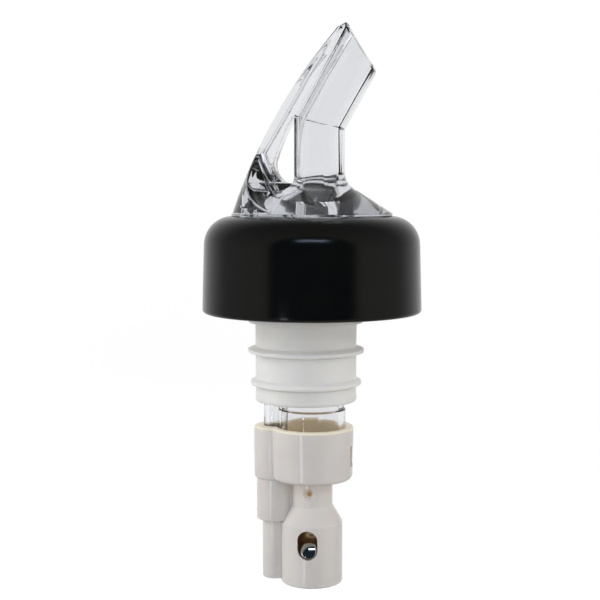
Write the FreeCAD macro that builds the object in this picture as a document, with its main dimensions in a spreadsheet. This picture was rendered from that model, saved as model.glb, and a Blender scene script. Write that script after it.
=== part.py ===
import FreeCAD, Part

import math
import os

import Sketcher

# Measured liquor pour spout, in millimetres. The origin lies on the cork's axis, level with the
# bottle's lip, so everything above z = 0 stands out of the bottle. +Z points up to the nozzle,
# +X is the side that liquor leaves, and -X is the breather's side.

DIMS = {
    # Offset of the spout, collar and valve from the cork: the breather tube pushes them aside.
    "main_offset": 1.08,
    "vent_x": -6.9,
    # Black collar
    "collar_foot": 1.8,
    "collar_top": 19.3,
    "collar_foot_radius": 19.95,
    "collar_shoulder_radius": 19.4,
    "collar_round": 5.2,
    "collar_wall": 1.5,
    "collar_sleeve_radius": 9.8,
    "collar_rib_thick": 1.1,
    "collar_rib_foot": 9.0,
    "collar_rib_root": 8.0,
    # Natural cork stopper
    "cork_flange_radius": 10.6,
    "cork_body_radius": 9.3,
    "cork_foot_radius": 8.7,
    "cork_foot_bevel": 0.6,
    "cork_length": 14.4,
    "cork_hole_gap": 0.05,
    "fin_one_radius": 10.6,
    "fin_one_depth": 5.15,
    "fin_two_radius": 10.1,
    "fin_two_depth": 11.0,
    "fin_edge": 0.6,
    "fin_root": 1.5,
    # Clear spout: flange, nozzle, vent arm and the two tubes that run down through the cork
    "flange_radius": 14.6,
    "flange_edge": 0.9,
    "flange_slope": 30.0,
    "flange_knee": 8.4,
    "flange_round": 5.0,
    "plateau_radius": 6.2,
    "plateau_height": 5.2,
    "tube_radius": 5.95,
    "tube_bead_radius": 6.2,
    "tube_bead_top": -16.0,
    "tube_bead_bevel": 0.25,
    "tube_bore": 5.1,
    "tube_foot": -27.2,
    "throat_low": 18.1,
    "throat_high": 20.5,
    "vent_tube_radius": 2.02,
    "vent_bore": 1.1,
    "vent_turn_z": 16.3,
    "vent_elbow_x": -9.2,
    "vent_elbow_z": 30.2,
    "vent_needle": 0.5,
    "vent_needle_z": 29.6,
    "vent_outlet_x": 3.3,
    "vent_outlet_z": 50.7,
    "nozzle_x": 1.38,
    "nozzle_foot": 19.8,
    "nozzle_width": 8.8,
    "nozzle_corner": 1.7,
    "nozzle_wall": 1.1,
    "nozzle_bore_corner": 1.1,
    "nozzle_bend": 36.05,
    "nozzle_lean": 29.3,
    "nozzle_reach": 24.0,
    "mouth_low_x": 11.45,
    "mouth_low_z": 45.15,
    "mouth_top_x": 6.3,
    "mouth_top_z": 53.6,
    "arm_width": 4.8,
    "arm_curve": 96.0,
    "arm_tip_x": 4.1,
    "arm_tip_z": 52.2,
    "arm_nose_x": 4.5,
    "arm_nose_z": 52.75,
    "arm_foot_x": -14.3,
    "arm_sink": 0.6,
    "gap_top": 37.1,
    "gap_waist": 28.8,
    "gap_width": 3.65,
    "gap_corner_z": 26.1,
    "gap_floor_z": 25.2,
    "gap_floor_width": 1.0,
    "gap_side_curve": 30.0,
    "gap_floor_curve": 3.3,
    "gap_corner_curve": 1.1,
    "lug_top": -22.7,
    "lug_width": 3.2,
    "lug_height": 1.3,
    "lug_reach": 0.7,
    "lug_edge": 0.5,
    "stop_foot": -14.3,
    "stop_height": 1.6,
    "stop_thick": 1.1,
    # Off-white valve housing
    "cup_radius": 7.7,
    "cup_foot_radius": 7.5,
    "cup_bore": 6.25,
    "cup_rim": -19.2,
    "cup_foot": -28.9,
    "lobe_radius": 3.86,
    "lobe_bore": 2.1,
    "neck_radius": 3.85,
    "neck_bore": 2.9,
    "seat_radius": 4.4,
    "seat_edge": -28.6,
    "slot_top": -22.5,
    "slot_foot": -26.4,
    "slot_width": 4.0,
    "neck_foot": -33.8,
    "chamber_radius": 5.7,
    "chamber_bore": 4.95,
    "chamber_bore_top": -37.2,
    "chamber_top": -37.0,
    "chamber_foot": -48.3,
    "mid_channel_radius": 3.35,
    "mid_channel_bore": 1.75,
    "mid_channel_foot": -36.7,
    "ball_step": -35.2,
    "low_channel_radius": 2.3,
    "low_channel_bore": 1.2,
    "low_channel_foot": -47.7,
    "web_thick": 2.6,
    "window_width": 3.7,
    "window_height": 5.4,
    "window_mid": -40.3,
    "bleed_height": -31.3,
    "bleed_bore": 0.4,
    "bleed_sink": 1.0,
    # Chamber cap and the three balls
    "cap_thick": 1.3,
    "cap_bore": 3.0,
    "cap_notch": 1.3,
    "cap_notch_reach": 4.25,
    "timing_ball_radius": 4.7625,
    "shutoff_ball_radius": 3.96875,
    "breather_ball_radius": 1.5875,
    "rest_gap": 0.05,
    # Every cutter runs this far past what it cuts, and every joined piece bites this far in.
    "run_past": 1.0,
    "bite": 0.4,
}
COLLAR_RIBS = 6
CAP_NOTCHES = 4

doc = FreeCAD.newDocument("pour_spout")
sheet = doc.addObject("Spreadsheet::Sheet", "dims")
for row, (alias, value) in enumerate(DIMS.items(), start=1):
    sheet.set(f"A{row}", alias)
    sheet.set(f"B{row}", str(value))
    sheet.setAlias(f"B{row}", alias)
doc.recompute()


class Size:
    """A number that remembers the sheet expression it comes from."""

    def __init__(self, value, text):
        self.value = value
        self.text = text

    def joined(self, other, sign, result, flip=False):
        other = as_size(other)
        first, second = (other, self) if flip else (self, other)
        return Size(result(first.value, second.value), f"({first.text} {sign} {second.text})")

    def __add__(self, other):
        return self.joined(other, "+", lambda a, b: a + b)

    def __sub__(self, other):
        return self.joined(other, "-", lambda a, b: a - b)

    def __mul__(self, other):
        return self.joined(other, "*", lambda a, b: a * b)

    def __truediv__(self, other):
        return self.joined(other, "/", lambda a, b: a / b)

    def __radd__(self, other):
        return self.joined(other, "+", lambda a, b: a + b, flip=True)

    def __rsub__(self, other):
        return self.joined(other, "-", lambda a, b: a - b, flip=True)

    def __rmul__(self, other):
        return self.joined(other, "*", lambda a, b: a * b, flip=True)

    def __neg__(self):
        return 0 - self


def as_size(number):
    return number if isinstance(number, Size) else Size(float(number), repr(float(number)))


def dim(alias):
    return Size(DIMS[alias], f"dims.{alias}")


def sine(angle):
    return Size(math.sin(math.radians(angle.value)), f"sin({angle.text} * 1 deg)")


def cosine(angle):
    return Size(math.cos(math.radians(angle.value)), f"cos({angle.text} * 1 deg)")


def root_of_squares(long_side, short_side):
    """The other short side of a right triangle, as for a ball resting on a round edge."""
    value = math.sqrt(long_side.value ** 2 - short_side.value ** 2)
    return Size(value, f"sqrt({long_side.text}^2 - {short_side.text}^2)")


# Sketch and feature helpers


def new_body(label, x_offset):
    body = doc.addObject("PartDesign::Body", label)
    body.Label = label
    body.setExpression("Placement.Base.x", as_size(x_offset).text)
    return body


def new_sketch(body, name, role, level=None):
    """A sketch on one of the body's origin planes, raised along the plane's normal."""
    sketch = body.newObject("Sketcher::SketchObject", name)
    plane = next(item for item in body.Origin.OriginFeatures if item.Role == role)
    sketch.AttachmentSupport = [(plane, "")]
    sketch.MapMode = "FlatFace"
    if level is not None:
        sketch.setExpression("AttachmentOffset.Base.z", as_size(level).text)
    return sketch


def hold(sketch, kind, *entries, size):
    index = sketch.addConstraint(Sketcher.Constraint(kind, *entries, size.value))
    sketch.setExpression(f"Constraints[{index}]", size.text)


def pin(sketch, geometry, place, point):
    """Fixes one point of a sketch by its distances from the sketch's origin."""
    across, up = as_size(point[0]), as_size(point[1])
    for kind, size, axis in (("DistanceX", across, -2), ("DistanceY", up, -1)):
        if abs(size.value) < 1e-9:
            sketch.addConstraint(Sketcher.Constraint("PointOnObject", geometry, place, axis))
        else:
            hold(sketch, kind, -1, 1, geometry, place, size=size)


def at(point):
    return FreeCAD.Vector(as_size(point[0]).value, as_size(point[1]).value, 0)


def arc_between(start, end, radius):
    """The short arc from start to end; a positive radius bows it to the right of its way."""
    a, b = at(start), at(end)
    half = (b - a) * 0.5
    rise = math.sqrt(radius ** 2 - half.Length ** 2)
    side = FreeCAD.Vector(-half.y, half.x, 0).normalize() * math.copysign(rise, radius)
    centre = a + half + side
    first, last = (a, b) if radius > 0 else (b, a)
    turn = [math.atan2(p.y - centre.y, p.x - centre.x) for p in (first, last)]
    circle = Part.Circle(centre, FreeCAD.Vector(0, 0, 1), abs(radius))
    return Part.ArcOfCircle(circle, turn[0], turn[1])


def draw_loop(sketch, points, arcs=None):
    """A closed outline through points; arcs gives the radius of the side that leaves a point."""
    arcs = arcs or {}
    first = sketch.GeometryCount
    count = len(points)
    ends = []
    for i, start in enumerate(points):
        end = points[(i + 1) % count]
        radius = arcs.get(i)
        if radius is None:
            sketch.addGeometry(Part.LineSegment(at(start), at(end)), False)
            ends.append((1, 2))
        else:
            sketch.addGeometry(arc_between(start, end, radius.value), False)
            ends.append((1, 2) if radius.value > 0 else (2, 1))
    for i in range(count):
        after = (i + 1) % count
        link = (first + i, ends[i][1], first + after, ends[after][0])
        sketch.addConstraint(Sketcher.Constraint("Coincident", *link))
    for i, point in enumerate(points):
        pin(sketch, first + i, ends[i][0], point)
    for i, radius in arcs.items():
        start, end = points[i], points[(i + 1) % count]
        if abs((at(end) - at(start)).Length - 2 * abs(radius.value)) < 1e-6:
            centre_half_circle(sketch, first + i, start, end)
        else:
            hold(sketch, "Radius", first + i, size=radius if radius.value > 0 else -radius)


def centre_half_circle(sketch, geometry, start, end):
    """Holds a half circle by its centre, which the two ends of an upright or level chord leave free."""
    upright = abs(at(start).x - at(end).x) < 1e-9
    kind, index, axis = ("DistanceX", 0, -2) if upright else ("DistanceY", 1, -1)
    size = as_size(start[index])
    if abs(size.value) < 1e-9:
        size = (start[index] + as_size(end[index])) / 2
    if abs(size.value) < 1e-9:
        sketch.addConstraint(Sketcher.Constraint("PointOnObject", geometry, 3, axis))
    else:
        hold(sketch, kind, -1, 1, geometry, 3, size=size)


def draw_circle(sketch, centre, radius):
    index = sketch.addGeometry(Part.Circle(at(centre), FreeCAD.Vector(0, 0, 1), radius.value), False)
    pin(sketch, index, 3, centre)
    hold(sketch, "Radius", index, size=radius)


def draw_box(sketch, left, low, right, high):
    draw_loop(sketch, [(left, low), (right, low), (right, high), (left, high)])


def feature(body, kind, name, sketch, **settings):
    item = body.newObject(f"PartDesign::{kind}", name)
    item.Profile = sketch
    for key, value in settings.items():
        setattr(item, key, value)
    sketch.Visibility = False
    return item


def extrude(body, kind, name, sketch, length, **settings):
    item = feature(body, kind, name, sketch, **settings)
    item.setExpression("Length", as_size(length).text)
    return item


def pad(body, name, sketch, length, **settings):
    return extrude(body, "Pad", name, sketch, length, **settings)


def pocket(body, name, sketch, length, **settings):
    """Cuts from the sketch against its plane's normal, or with it when Reversed is set."""
    return extrude(body, "Pocket", name, sketch, length, **settings)


def turn_about_z(body, kind, name, sketch):
    return feature(body, kind, name, sketch, ReferenceAxis=(sketch, ["V_Axis"]), Angle=360.0)


def pipe(body, kind, name, sketch, spine):
    """Carries the sketch along the spine's straight runs, mitred where they meet."""
    item = feature(body, kind, name, sketch)
    item.Spine = (spine, [f"Edge{i + 1}" for i in range(spine.GeometryCount)])
    item.Transition = "Right corner"
    spine.Visibility = False
    return item


def repeat_about_z(body, name, original, count):
    item = body.newObject("PartDesign::PolarPattern", name)
    item.Originals = [original]
    axis = next(part for part in body.Origin.OriginFeatures if part.Role == "Z_Axis")
    item.Axis = (axis, [""])
    item.Angle = 360.0
    item.Occurrences = count
    body.Tip = item
    return item


def chamfered_square(sketch, centre_x, width, corner):
    """A square about (centre_x, 0) with its four corners cut off."""
    half = width / 2
    flat = half - corner
    ring = [(half, -flat), (half, flat), (flat, half), (-flat, half)]
    ring += [(-half, flat), (-half, -flat), (-flat, -half), (flat, -half)]
    draw_loop(sketch, [(centre_x + x, y) for x, y in ring])


def bore_through(body, name, x, radius, top, foot):
    """A round hole from above the top to below the foot."""
    clear = dim("run_past")
    ring = new_sketch(body, f"{name}_profile", "XY_Plane", top + clear)
    draw_circle(ring, (x, 0), radius)
    return pocket(body, name, ring, top - foot + 2 * clear)


# Collar: a black cap, hollow underneath, with a sleeve that bears on the cork's flange


def make_collar():
    body = new_body("collar", dim("main_offset"))
    foot, top = dim("collar_foot"), dim("collar_top")
    wide, shoulder = dim("collar_foot_radius"), dim("collar_shoulder_radius")
    bend, wall = dim("collar_round"), dim("collar_wall")
    shell = new_sketch(body, "shell_profile", "XZ_Plane")
    outline = [(0, top), (0, top - wall), (shoulder - bend, top - wall), (shoulder - wall, top - bend)]
    outline += [(wide - wall, foot), (wide, foot), (shoulder, top - bend), (shoulder - bend, top)]
    draw_loop(shell, outline, arcs={2: -(bend - wall), 6: bend})
    turn_about_z(body, "Revolution", "shell", shell)

    sleeve = new_sketch(body, "sleeve_profile", "XY_Plane", foot)
    draw_circle(sleeve, (-dim("main_offset"), 0), dim("collar_sleeve_radius"))
    pad(body, "sleeve", sleeve, top - wall / 2 - foot)

    rib = new_sketch(body, "rib_profile", "XZ_Plane")
    middle, low = wall / 2, dim("collar_rib_foot")
    inside = dim("collar_rib_root")
    outline = [(inside, low), (shoulder - middle, low), (shoulder - middle, top - bend)]
    outline += [(shoulder - bend, top - middle), (inside, top - middle)]
    draw_loop(rib, outline, arcs={2: bend - middle})
    ribs = pad(body, "rib", rib, dim("collar_rib_thick"), Midplane=True)
    doc.recompute()
    repeat_about_z(body, "ribs", ribs, COLLAR_RIBS)

    bores = (("tube", 0, dim("tube_radius")), ("vent", dim("vent_x"), dim("vent_tube_radius")))
    for name, x, radius in bores:
        bore_through(body, f"{name}_hole", x, radius + dim("cork_hole_gap"), top, foot)
    return body


# Cork: a soft stopper with a flange on the bottle's lip and two sealing fins


def make_cork():
    body = new_body("cork", 0)
    flange, wide = dim("cork_flange_radius"), dim("cork_body_radius")
    narrow, depth = dim("cork_foot_radius"), dim("cork_length")
    root, edge = dim("fin_root") / 2, dim("fin_edge") / 2
    side = [(0, dim("collar_foot")), (0, -depth), (narrow, -depth)]
    side += [(wide, dim("cork_foot_bevel") - depth)]
    for name in ("two", "one"):
        tip, level = dim(f"fin_{name}_radius"), -dim(f"fin_{name}_depth")
        side += [(wide, level - root), (tip, level - edge), (tip, level + edge), (wide, level + root)]
    side += [(wide, 0), (flange, 0), (flange, dim("collar_foot"))]
    profile = new_sketch(body, "stopper_profile", "XZ_Plane")
    draw_loop(profile, side)
    turn_about_z(body, "Revolution", "stopper", profile)
    tubes = (("tube", dim("main_offset"), dim("tube_radius")),
             ("vent", dim("main_offset") + dim("vent_x"), dim("vent_tube_radius")))
    for name, x, radius in tubes:
        bore_through(body, f"{name}_hole", x, radius + dim("cork_hole_gap"), dim("collar_foot"), -depth)
    return body


# Spout: one clear moulding


def make_spout():
    body = new_body("spout", dim("main_offset"))
    top, rim = dim("collar_top"), dim("collar_top") + dim("flange_edge")
    radius, bead = dim("tube_radius"), dim("tube_bead_radius")
    foot, bead_top = dim("tube_foot"), dim("tube_bead_top")
    stem = new_sketch(body, "stem_profile", "XZ_Plane")
    side = [(0, foot), (bead, foot), (bead, bead_top), (radius, bead_top + dim("tube_bead_bevel"))]
    side += [(radius, top), (dim("flange_radius"), top), (dim("flange_radius"), rim)]
    slope, plateau = dim("flange_slope"), rim + dim("plateau_height")
    knee = dim("flange_knee")
    side += [(knee, rim + (dim("flange_radius") - knee) * sine(slope) / cosine(slope))]
    side += [(dim("plateau_radius"), plateau), (0, plateau)]
    draw_loop(stem, side, arcs={7: -dim("flange_round")})
    turn_about_z(body, "Revolution", "stem_and_flange", stem)

    vent_tube = new_sketch(body, "vent_tube_profile", "XY_Plane", foot)
    draw_circle(vent_tube, (dim("vent_x"), 0), dim("vent_tube_radius"))
    pad(body, "vent_tube", vent_tube, rim - foot)

    # The nozzle rises straight, then leans over to +X.
    axis, lean = dim("nozzle_x"), dim("nozzle_lean")
    bend, reach, nozzle_foot = dim("nozzle_bend"), dim("nozzle_reach"), dim("nozzle_foot")
    run = [(axis, nozzle_foot), (axis, bend)]
    run += [(axis + reach * sine(lean), bend + reach * cosine(lean))]

    def nozzle(kind, name, width, corner):
        section = new_sketch(body, f"{name}_section", "XY_Plane", nozzle_foot)
        chamfered_square(section, axis, width, corner)
        spine = new_sketch(body, f"{name}_spine", "XZ_Plane")
        for start, end in zip(run, run[1:]):
            spine.addGeometry(Part.LineSegment(at(start), at(end)), False)
        spine.addConstraint(Sketcher.Constraint("Coincident", 0, 2, 1, 1))
        for geometry, place, point in ((0, 1, run[0]), (1, 1, run[1]), (1, 2, run[2])):
            pin(spine, geometry, place, point)
        doc.recompute()
        return pipe(body, kind, name, section, spine)

    width, corner, wall = dim("nozzle_width"), dim("nozzle_corner"), dim("nozzle_wall")
    nozzle("AdditivePipe", "nozzle", width, corner)

    # The vent arm is a curved fin from the flange's edge to the tip, with an open gap behind it.
    arm = new_sketch(body, "arm_profile", "XZ_Plane")
    root = rim - dim("arm_sink")
    outline = [(dim("arm_foot_x"), rim), (-dim("flange_knee"), root), (axis, root), (axis, bend)]
    outline += [(dim("mouth_top_x"), dim("mouth_top_z")), (dim("arm_nose_x"), dim("arm_nose_z"))]
    outline += [(dim("arm_tip_x"), dim("arm_tip_z"))]
    draw_loop(arm, outline, arcs={6: dim("arm_curve")})
    left = axis - width / 2
    gap = [(left, dim("gap_corner_z")), (left, dim("gap_top"))]
    gap += [(left - dim("gap_width"), dim("gap_waist"))]
    gap += [(left - dim("gap_floor_width"), dim("gap_floor_z"))]
    curves = {1: "gap_side_curve", 2: "gap_floor_curve", 3: "gap_corner_curve"}
    draw_loop(arm, gap, arcs={side: dim(alias) for side, alias in curves.items()})
    pad(body, "vent_arm", arm, dim("arm_width"), Midplane=True)

    # The mouth is cut off at a slant, from the tip down to the low side.
    mouth = new_sketch(body, "mouth_profile", "XZ_Plane")
    low, high = (dim("mouth_low_x"), dim("mouth_low_z")), (dim("mouth_top_x"), dim("mouth_top_z"))
    over, past, before = high[1] + reach, low[0] + reach, high[0] - reach
    draw_loop(mouth, [low, (past, low[1]), (past, over), (before, over), (before, high[1]), high])
    pocket(body, "mouth", mouth, reach, Midplane=True)

    # Bores: the main tube opens under the flange and narrows into the nozzle.
    bore, inner, below = dim("tube_bore"), width / 2 - wall, foot - dim("run_past")
    low, high = dim("throat_low"), dim("throat_high")
    well = new_sketch(body, "tube_bore_profile", "XZ_Plane")
    draw_loop(well, [(0, below), (bore, below), (bore, low), (inner, high), (0, high)])
    turn_about_z(body, "Groove", "tube_bore", well)
    nozzle("SubtractivePipe", "nozzle_bore", width - 2 * wall, dim("nozzle_bore_corner"))

    vent_x, turn = dim("vent_x"), dim("vent_turn_z")
    shaft = new_sketch(body, "vent_bore_profile", "XY_Plane", below)
    draw_circle(shaft, (vent_x, 0), dim("vent_bore"))
    pocket(body, "vent_bore", shaft, turn - below, Reversed=True)
    elbow = (dim("vent_elbow_x"), dim("vent_elbow_z"))
    outlet = (dim("vent_outlet_x"), dim("vent_outlet_z"))
    runs = (("vent_riser", dim("vent_bore"), (vent_x, turn), elbow),
            ("vent_needle", dim("vent_needle"), (elbow[0], dim("vent_needle_z")), outlet))
    for name, radius, start, end in runs:
        section = new_sketch(body, f"{name}_section", "XY_Plane", start[1])
        draw_circle(section, (start[0], 0), radius)
        spine = new_sketch(body, f"{name}_spine", "XZ_Plane")
        spine.addGeometry(Part.LineSegment(at(start), at(end)), False)
        pin(spine, 0, 1, start)
        pin(spine, 0, 2, end)
        doc.recompute()
        pipe(body, "SubtractivePipe", name, section, spine)

    # Crossed ribs stop the shut-off ball below the flange.
    for name, long_x in (("rib_across", True), ("rib_along", False)):
        rib = new_sketch(body, f"{name}_profile", "XY_Plane", dim("stop_foot"))
        reach_x, reach_y = bore + dim("bite"), dim("stop_thick") / 2
        if not long_x:
            reach_x, reach_y = reach_y, reach_x
        draw_box(rib, -reach_x, -reach_y, reach_x, reach_y)
        pad(body, name, rib, dim("stop_height"))

    # A lug on the tube's right side snaps into the slot in the valve housing's cup.
    lug = new_sketch(body, "lug_profile", "XZ_Plane")
    lug_top, lug_foot, face = dim("lug_top"), dim("lug_top") - dim("lug_height"), bead + dim("lug_reach")
    inside = bead - dim("bite")
    outline = [(inside, lug_foot), (bead, lug_foot), (face, lug_top - dim("lug_edge"))]
    draw_loop(lug, outline + [(face, lug_top), (inside, lug_top)])
    pad(body, "lug", lug, dim("lug_width"), Midplane=True)
    return body


# Valve housing: a cup on the clear tubes, a neck, a ball chamber, and the breather's channel


def make_valve_housing():
    body = new_body("valve_housing", dim("main_offset"))
    rim, cup_foot = dim("cup_rim"), dim("cup_foot")
    neck_foot, chamber_top, foot = dim("neck_foot"), dim("chamber_top"), dim("chamber_foot")
    outside = new_sketch(body, "cup_and_chamber_profile", "XZ_Plane")
    side = [(0, foot), (dim("chamber_radius"), foot), (dim("chamber_radius"), chamber_top)]
    side += [(dim("neck_radius"), neck_foot), (dim("neck_radius"), cup_foot)]
    side += [(dim("cup_foot_radius"), cup_foot), (dim("cup_radius"), rim), (0, rim)]
    draw_loop(outside, side)
    turn_about_z(body, "Revolution", "cup_and_chamber", outside)

    vent_x, bite, step = dim("vent_x"), dim("bite"), dim("ball_step")
    mid_foot, low_foot = dim("mid_channel_foot"), dim("low_channel_foot")
    columns = (("lobe", dim("lobe_radius"), rim, cup_foot),
               ("mid_channel", dim("mid_channel_radius"), cup_foot + bite, mid_foot),
               ("low_channel", dim("low_channel_radius"), mid_foot + bite, low_foot))
    for name, radius, top, low in columns:
        ring = new_sketch(body, f"{name}_profile", "XY_Plane", low)
        draw_circle(ring, (vent_x, 0), radius)
        pad(body, name, ring, top - low)
    web = new_sketch(body, "web_profile", "XY_Plane", mid_foot)
    draw_box(web, vent_x, -dim("web_thick") / 2, 0, dim("web_thick") / 2)
    pad(body, "web", web, cup_foot + bite - mid_foot)

    bore, ledge, clear = dim("neck_bore"), dim("tube_foot"), dim("run_past")
    chamber_bore, cup_bore = dim("chamber_bore"), dim("cup_bore")
    inside = new_sketch(body, "flow_bore_profile", "XZ_Plane")
    side = [(0, foot - clear), (chamber_bore, foot - clear), (chamber_bore, dim("chamber_bore_top"))]
    side += [(bore, neck_foot), (bore, dim("seat_edge")), (dim("seat_radius"), ledge)]
    side += [(cup_bore, ledge), (cup_bore, rim + clear), (0, rim + clear)]
    draw_loop(inside, side)
    turn_about_z(body, "Groove", "flow_bore", inside)
    steps = (("lobe_bore", dim("lobe_bore"), rim + clear, ledge),
             ("ball_well", dim("mid_channel_bore"), ledge + clear, step),
             ("low_bore", dim("low_channel_bore"), step + clear, low_foot - clear))
    for name, radius, top, low in steps:
        ring = new_sketch(body, f"{name}_profile", "XY_Plane", top)
        draw_circle(ring, (vent_x, 0), radius)
        pocket(body, name, ring, top - low)

    # Oval windows at the front and back of the chamber let liquor in above the ball.
    window = new_sketch(body, "window_profile", "XZ_Plane")
    half, level = dim("window_width") / 2, dim("window_mid")
    straight = dim("window_height") / 2 - half
    draw_loop(window, [(half, level - straight), (half, level + straight), (-half, level + straight),
                       (-half, level - straight)], arcs={1: half, 3: half})
    pocket(body, "windows", window, 4 * dim("chamber_radius"), Midplane=True)

    # A small bleed hole in the front of the neck, with a countersink at 45 degrees.
    bleed = new_sketch(body, "bleed_profile", "YZ_Plane")
    height, small, large = dim("bleed_height"), dim("bleed_bore"), dim("bleed_sink")
    skin = -dim("neck_radius")
    outline = [(0, height), (skin - bite, height), (skin - bite, height + large + bite)]
    draw_loop(bleed, outline + [(skin + large - small, height + small), (0, height + small)])
    axis = bleed.addGeometry(Part.LineSegment(at((skin, height)), at((0, height))), True)
    pin(bleed, axis, 1, (skin, height))
    pin(bleed, axis, 2, (0, height))
    feature(body, "Groove", "bleed_hole", bleed, ReferenceAxis=(bleed, ["Axis0"]), Angle=360.0)

    # The snap slot for the spout's lug goes through the cup's right wall.
    slot = new_sketch(body, "slot_profile", "YZ_Plane", dim("cup_radius") + clear)
    draw_box(slot, -dim("slot_width") / 2, dim("slot_foot"), dim("slot_width") / 2, dim("slot_top"))
    pocket(body, "snap_slot", slot, dim("cup_radius") + clear - dim("tube_radius"))
    return body


# Chamber cap: a ring pressed into the chamber's open end, notched so that it drains


def make_chamber_cap():
    body = new_body("chamber_cap", dim("main_offset"))
    foot, thick, bore = dim("chamber_foot"), dim("cap_thick"), dim("cap_bore")
    ring = new_sketch(body, "ring_profile", "XZ_Plane")
    rim = dim("chamber_bore")
    draw_loop(ring, [(bore, foot), (rim, foot), (rim, foot + thick), (bore, foot + thick)])
    turn_about_z(body, "Revolution", "ring", ring)
    notch = new_sketch(body, "notch_profile", "XY_Plane", foot + thick + dim("run_past"))
    half = dim("cap_notch") / 2
    draw_box(notch, bore - half, -half, dim("cap_notch_reach"), half)
    cut = pocket(body, "notch", notch, thick + 2 * dim("run_past"))
    doc.recompute()
    repeat_about_z(body, "notches", cut, CAP_NOTCHES)
    return body


# Balls: each rests in its seat at the low end of its travel


def make_ball(name, x, radius, height):
    body = new_body(name, x)
    body.setExpression("Placement.Base.z", height.text)
    half = new_sketch(body, "half_disc", "XZ_Plane")
    draw_loop(half, [(0, -radius), (0, radius)], arcs={0: radius})
    turn_about_z(body, "Revolution", "ball", half)
    return body


def make_balls():
    main, gap = dim("main_offset"), dim("rest_gap")
    ball = dim("timing_ball_radius")
    cap_top = dim("chamber_foot") + dim("cap_thick")
    rest = cap_top + root_of_squares(ball, dim("cap_bore")) + gap
    make_ball("timing_ball", main, ball, rest)
    ball = dim("shutoff_ball_radius")
    rest = dim("seat_edge") + root_of_squares(ball, dim("neck_bore")) + gap
    make_ball("shutoff_ball", main, ball, rest)
    ball = dim("breather_ball_radius")
    rest = dim("ball_step") + root_of_squares(ball, dim("low_channel_bore")) + gap
    make_ball("breather_ball", main + dim("vent_x"), ball, rest)


make_collar()
make_cork()
make_spout()
make_valve_housing()
make_chamber_cap()
make_balls()
doc.recompute()

for item in doc.Objects:
    if "Invalid" in item.State or "Error" in item.State:
        raise RuntimeError(f"{item.Name} did not build: {item.State}")
bodies = [item for item in doc.Objects if item.TypeId == "PartDesign::Body"]
for body in bodies:
    if body.Shape.isNull() or not body.Shape.isValid() or len(body.Shape.Solids) != 1:
        raise RuntimeError(f"{body.Label} is not one sound solid")

os.makedirs("parts", exist_ok=True)
for body in bodies:
    body.Shape.exportStep(f"parts/{body.Label}.step")
    box = body.Shape.optimalBoundingBox()
    print(f"{body.Label}: {body.Shape.Volume:.1f} mm3, z {box.ZMin:.2f} to {box.ZMax:.2f}")
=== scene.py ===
# %% [markdown]
# # A measured liquor pour spout
#
# This lesson builds the looks of a bar pour spout: a clear slanted nozzle with a vent arm, a
# black collar, a milky cork with two fins, and an off-white ball valve that hangs below the cork.
# The engineering model is loaded first and stays the frame. Each piece is then either given a
# finish or rebuilt as a smoother mesh in exactly the same place.

# %% Load the frame
import math

import bmesh
import bpy
from mathutils import Matrix, Vector


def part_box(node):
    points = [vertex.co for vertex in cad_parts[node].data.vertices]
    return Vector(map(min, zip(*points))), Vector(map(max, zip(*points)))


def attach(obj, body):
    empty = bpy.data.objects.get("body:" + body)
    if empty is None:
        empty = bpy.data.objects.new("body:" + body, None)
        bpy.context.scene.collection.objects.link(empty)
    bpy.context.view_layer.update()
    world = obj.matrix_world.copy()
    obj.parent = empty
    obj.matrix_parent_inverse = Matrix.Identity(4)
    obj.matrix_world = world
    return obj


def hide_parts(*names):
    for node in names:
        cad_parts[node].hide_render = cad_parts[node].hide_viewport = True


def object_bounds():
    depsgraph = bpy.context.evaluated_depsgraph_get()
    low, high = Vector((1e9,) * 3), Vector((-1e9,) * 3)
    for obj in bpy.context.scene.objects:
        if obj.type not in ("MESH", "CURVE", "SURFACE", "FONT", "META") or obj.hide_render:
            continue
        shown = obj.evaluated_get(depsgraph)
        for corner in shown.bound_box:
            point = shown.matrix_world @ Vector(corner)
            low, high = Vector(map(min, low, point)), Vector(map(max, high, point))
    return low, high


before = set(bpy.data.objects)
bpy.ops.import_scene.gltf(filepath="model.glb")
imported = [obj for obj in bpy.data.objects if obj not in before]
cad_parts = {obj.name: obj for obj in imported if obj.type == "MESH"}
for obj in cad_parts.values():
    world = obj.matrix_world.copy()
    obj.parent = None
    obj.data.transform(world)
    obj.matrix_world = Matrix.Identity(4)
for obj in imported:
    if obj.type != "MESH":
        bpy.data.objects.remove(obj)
cad_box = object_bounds()
print("frame:", sorted(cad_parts))

# %% [markdown]
# ## Places and sizes
#
# The pieces are drawn in millimetres and shrunk to metres at the end, because tiny numbers make
# Blender's merging and boolean tools unreliable. The main places come from the boxes of the
# loaded nodes, so each piece lands where the engineering model has it.

# %% Read the main places from the frame
MM = 0.001


def span(node):
    """A node's lowest and highest corner, in millimetres."""
    low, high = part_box(node)
    return low / MM, high / MM


ball_low, ball_high = span("timing_ball")
breather_low, breather_high = span("breather_ball")
MAIN_X = (ball_low.x + ball_high.x) / 2
VENT_X = (breather_low.x + breather_high.x) / 2
print(f"main axis at x = {MAIN_X:.2f} mm, breather at x = {VENT_X:.2f} mm")

# %% [markdown]
# ## The camera
#
# The camera stands 225 mm away, turned 9 degrees to the right side of the spout and a little above
# its middle. It looks slightly down through a short telephoto lens, which keeps the tall object
# from bending in perspective.

# %% Make the camera
CAMERA_TURN = math.radians(9.0)
CAMERA_TILT = math.radians(5.02)
CAMERA_AWAY = 225.4 * MM
CAMERA_SIDE = -2.17 * MM
CAMERA_HEIGHT = 23.8 * MM
LENS_LENGTH, SENSOR_WIDTH = 74.4, 36.0

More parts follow.
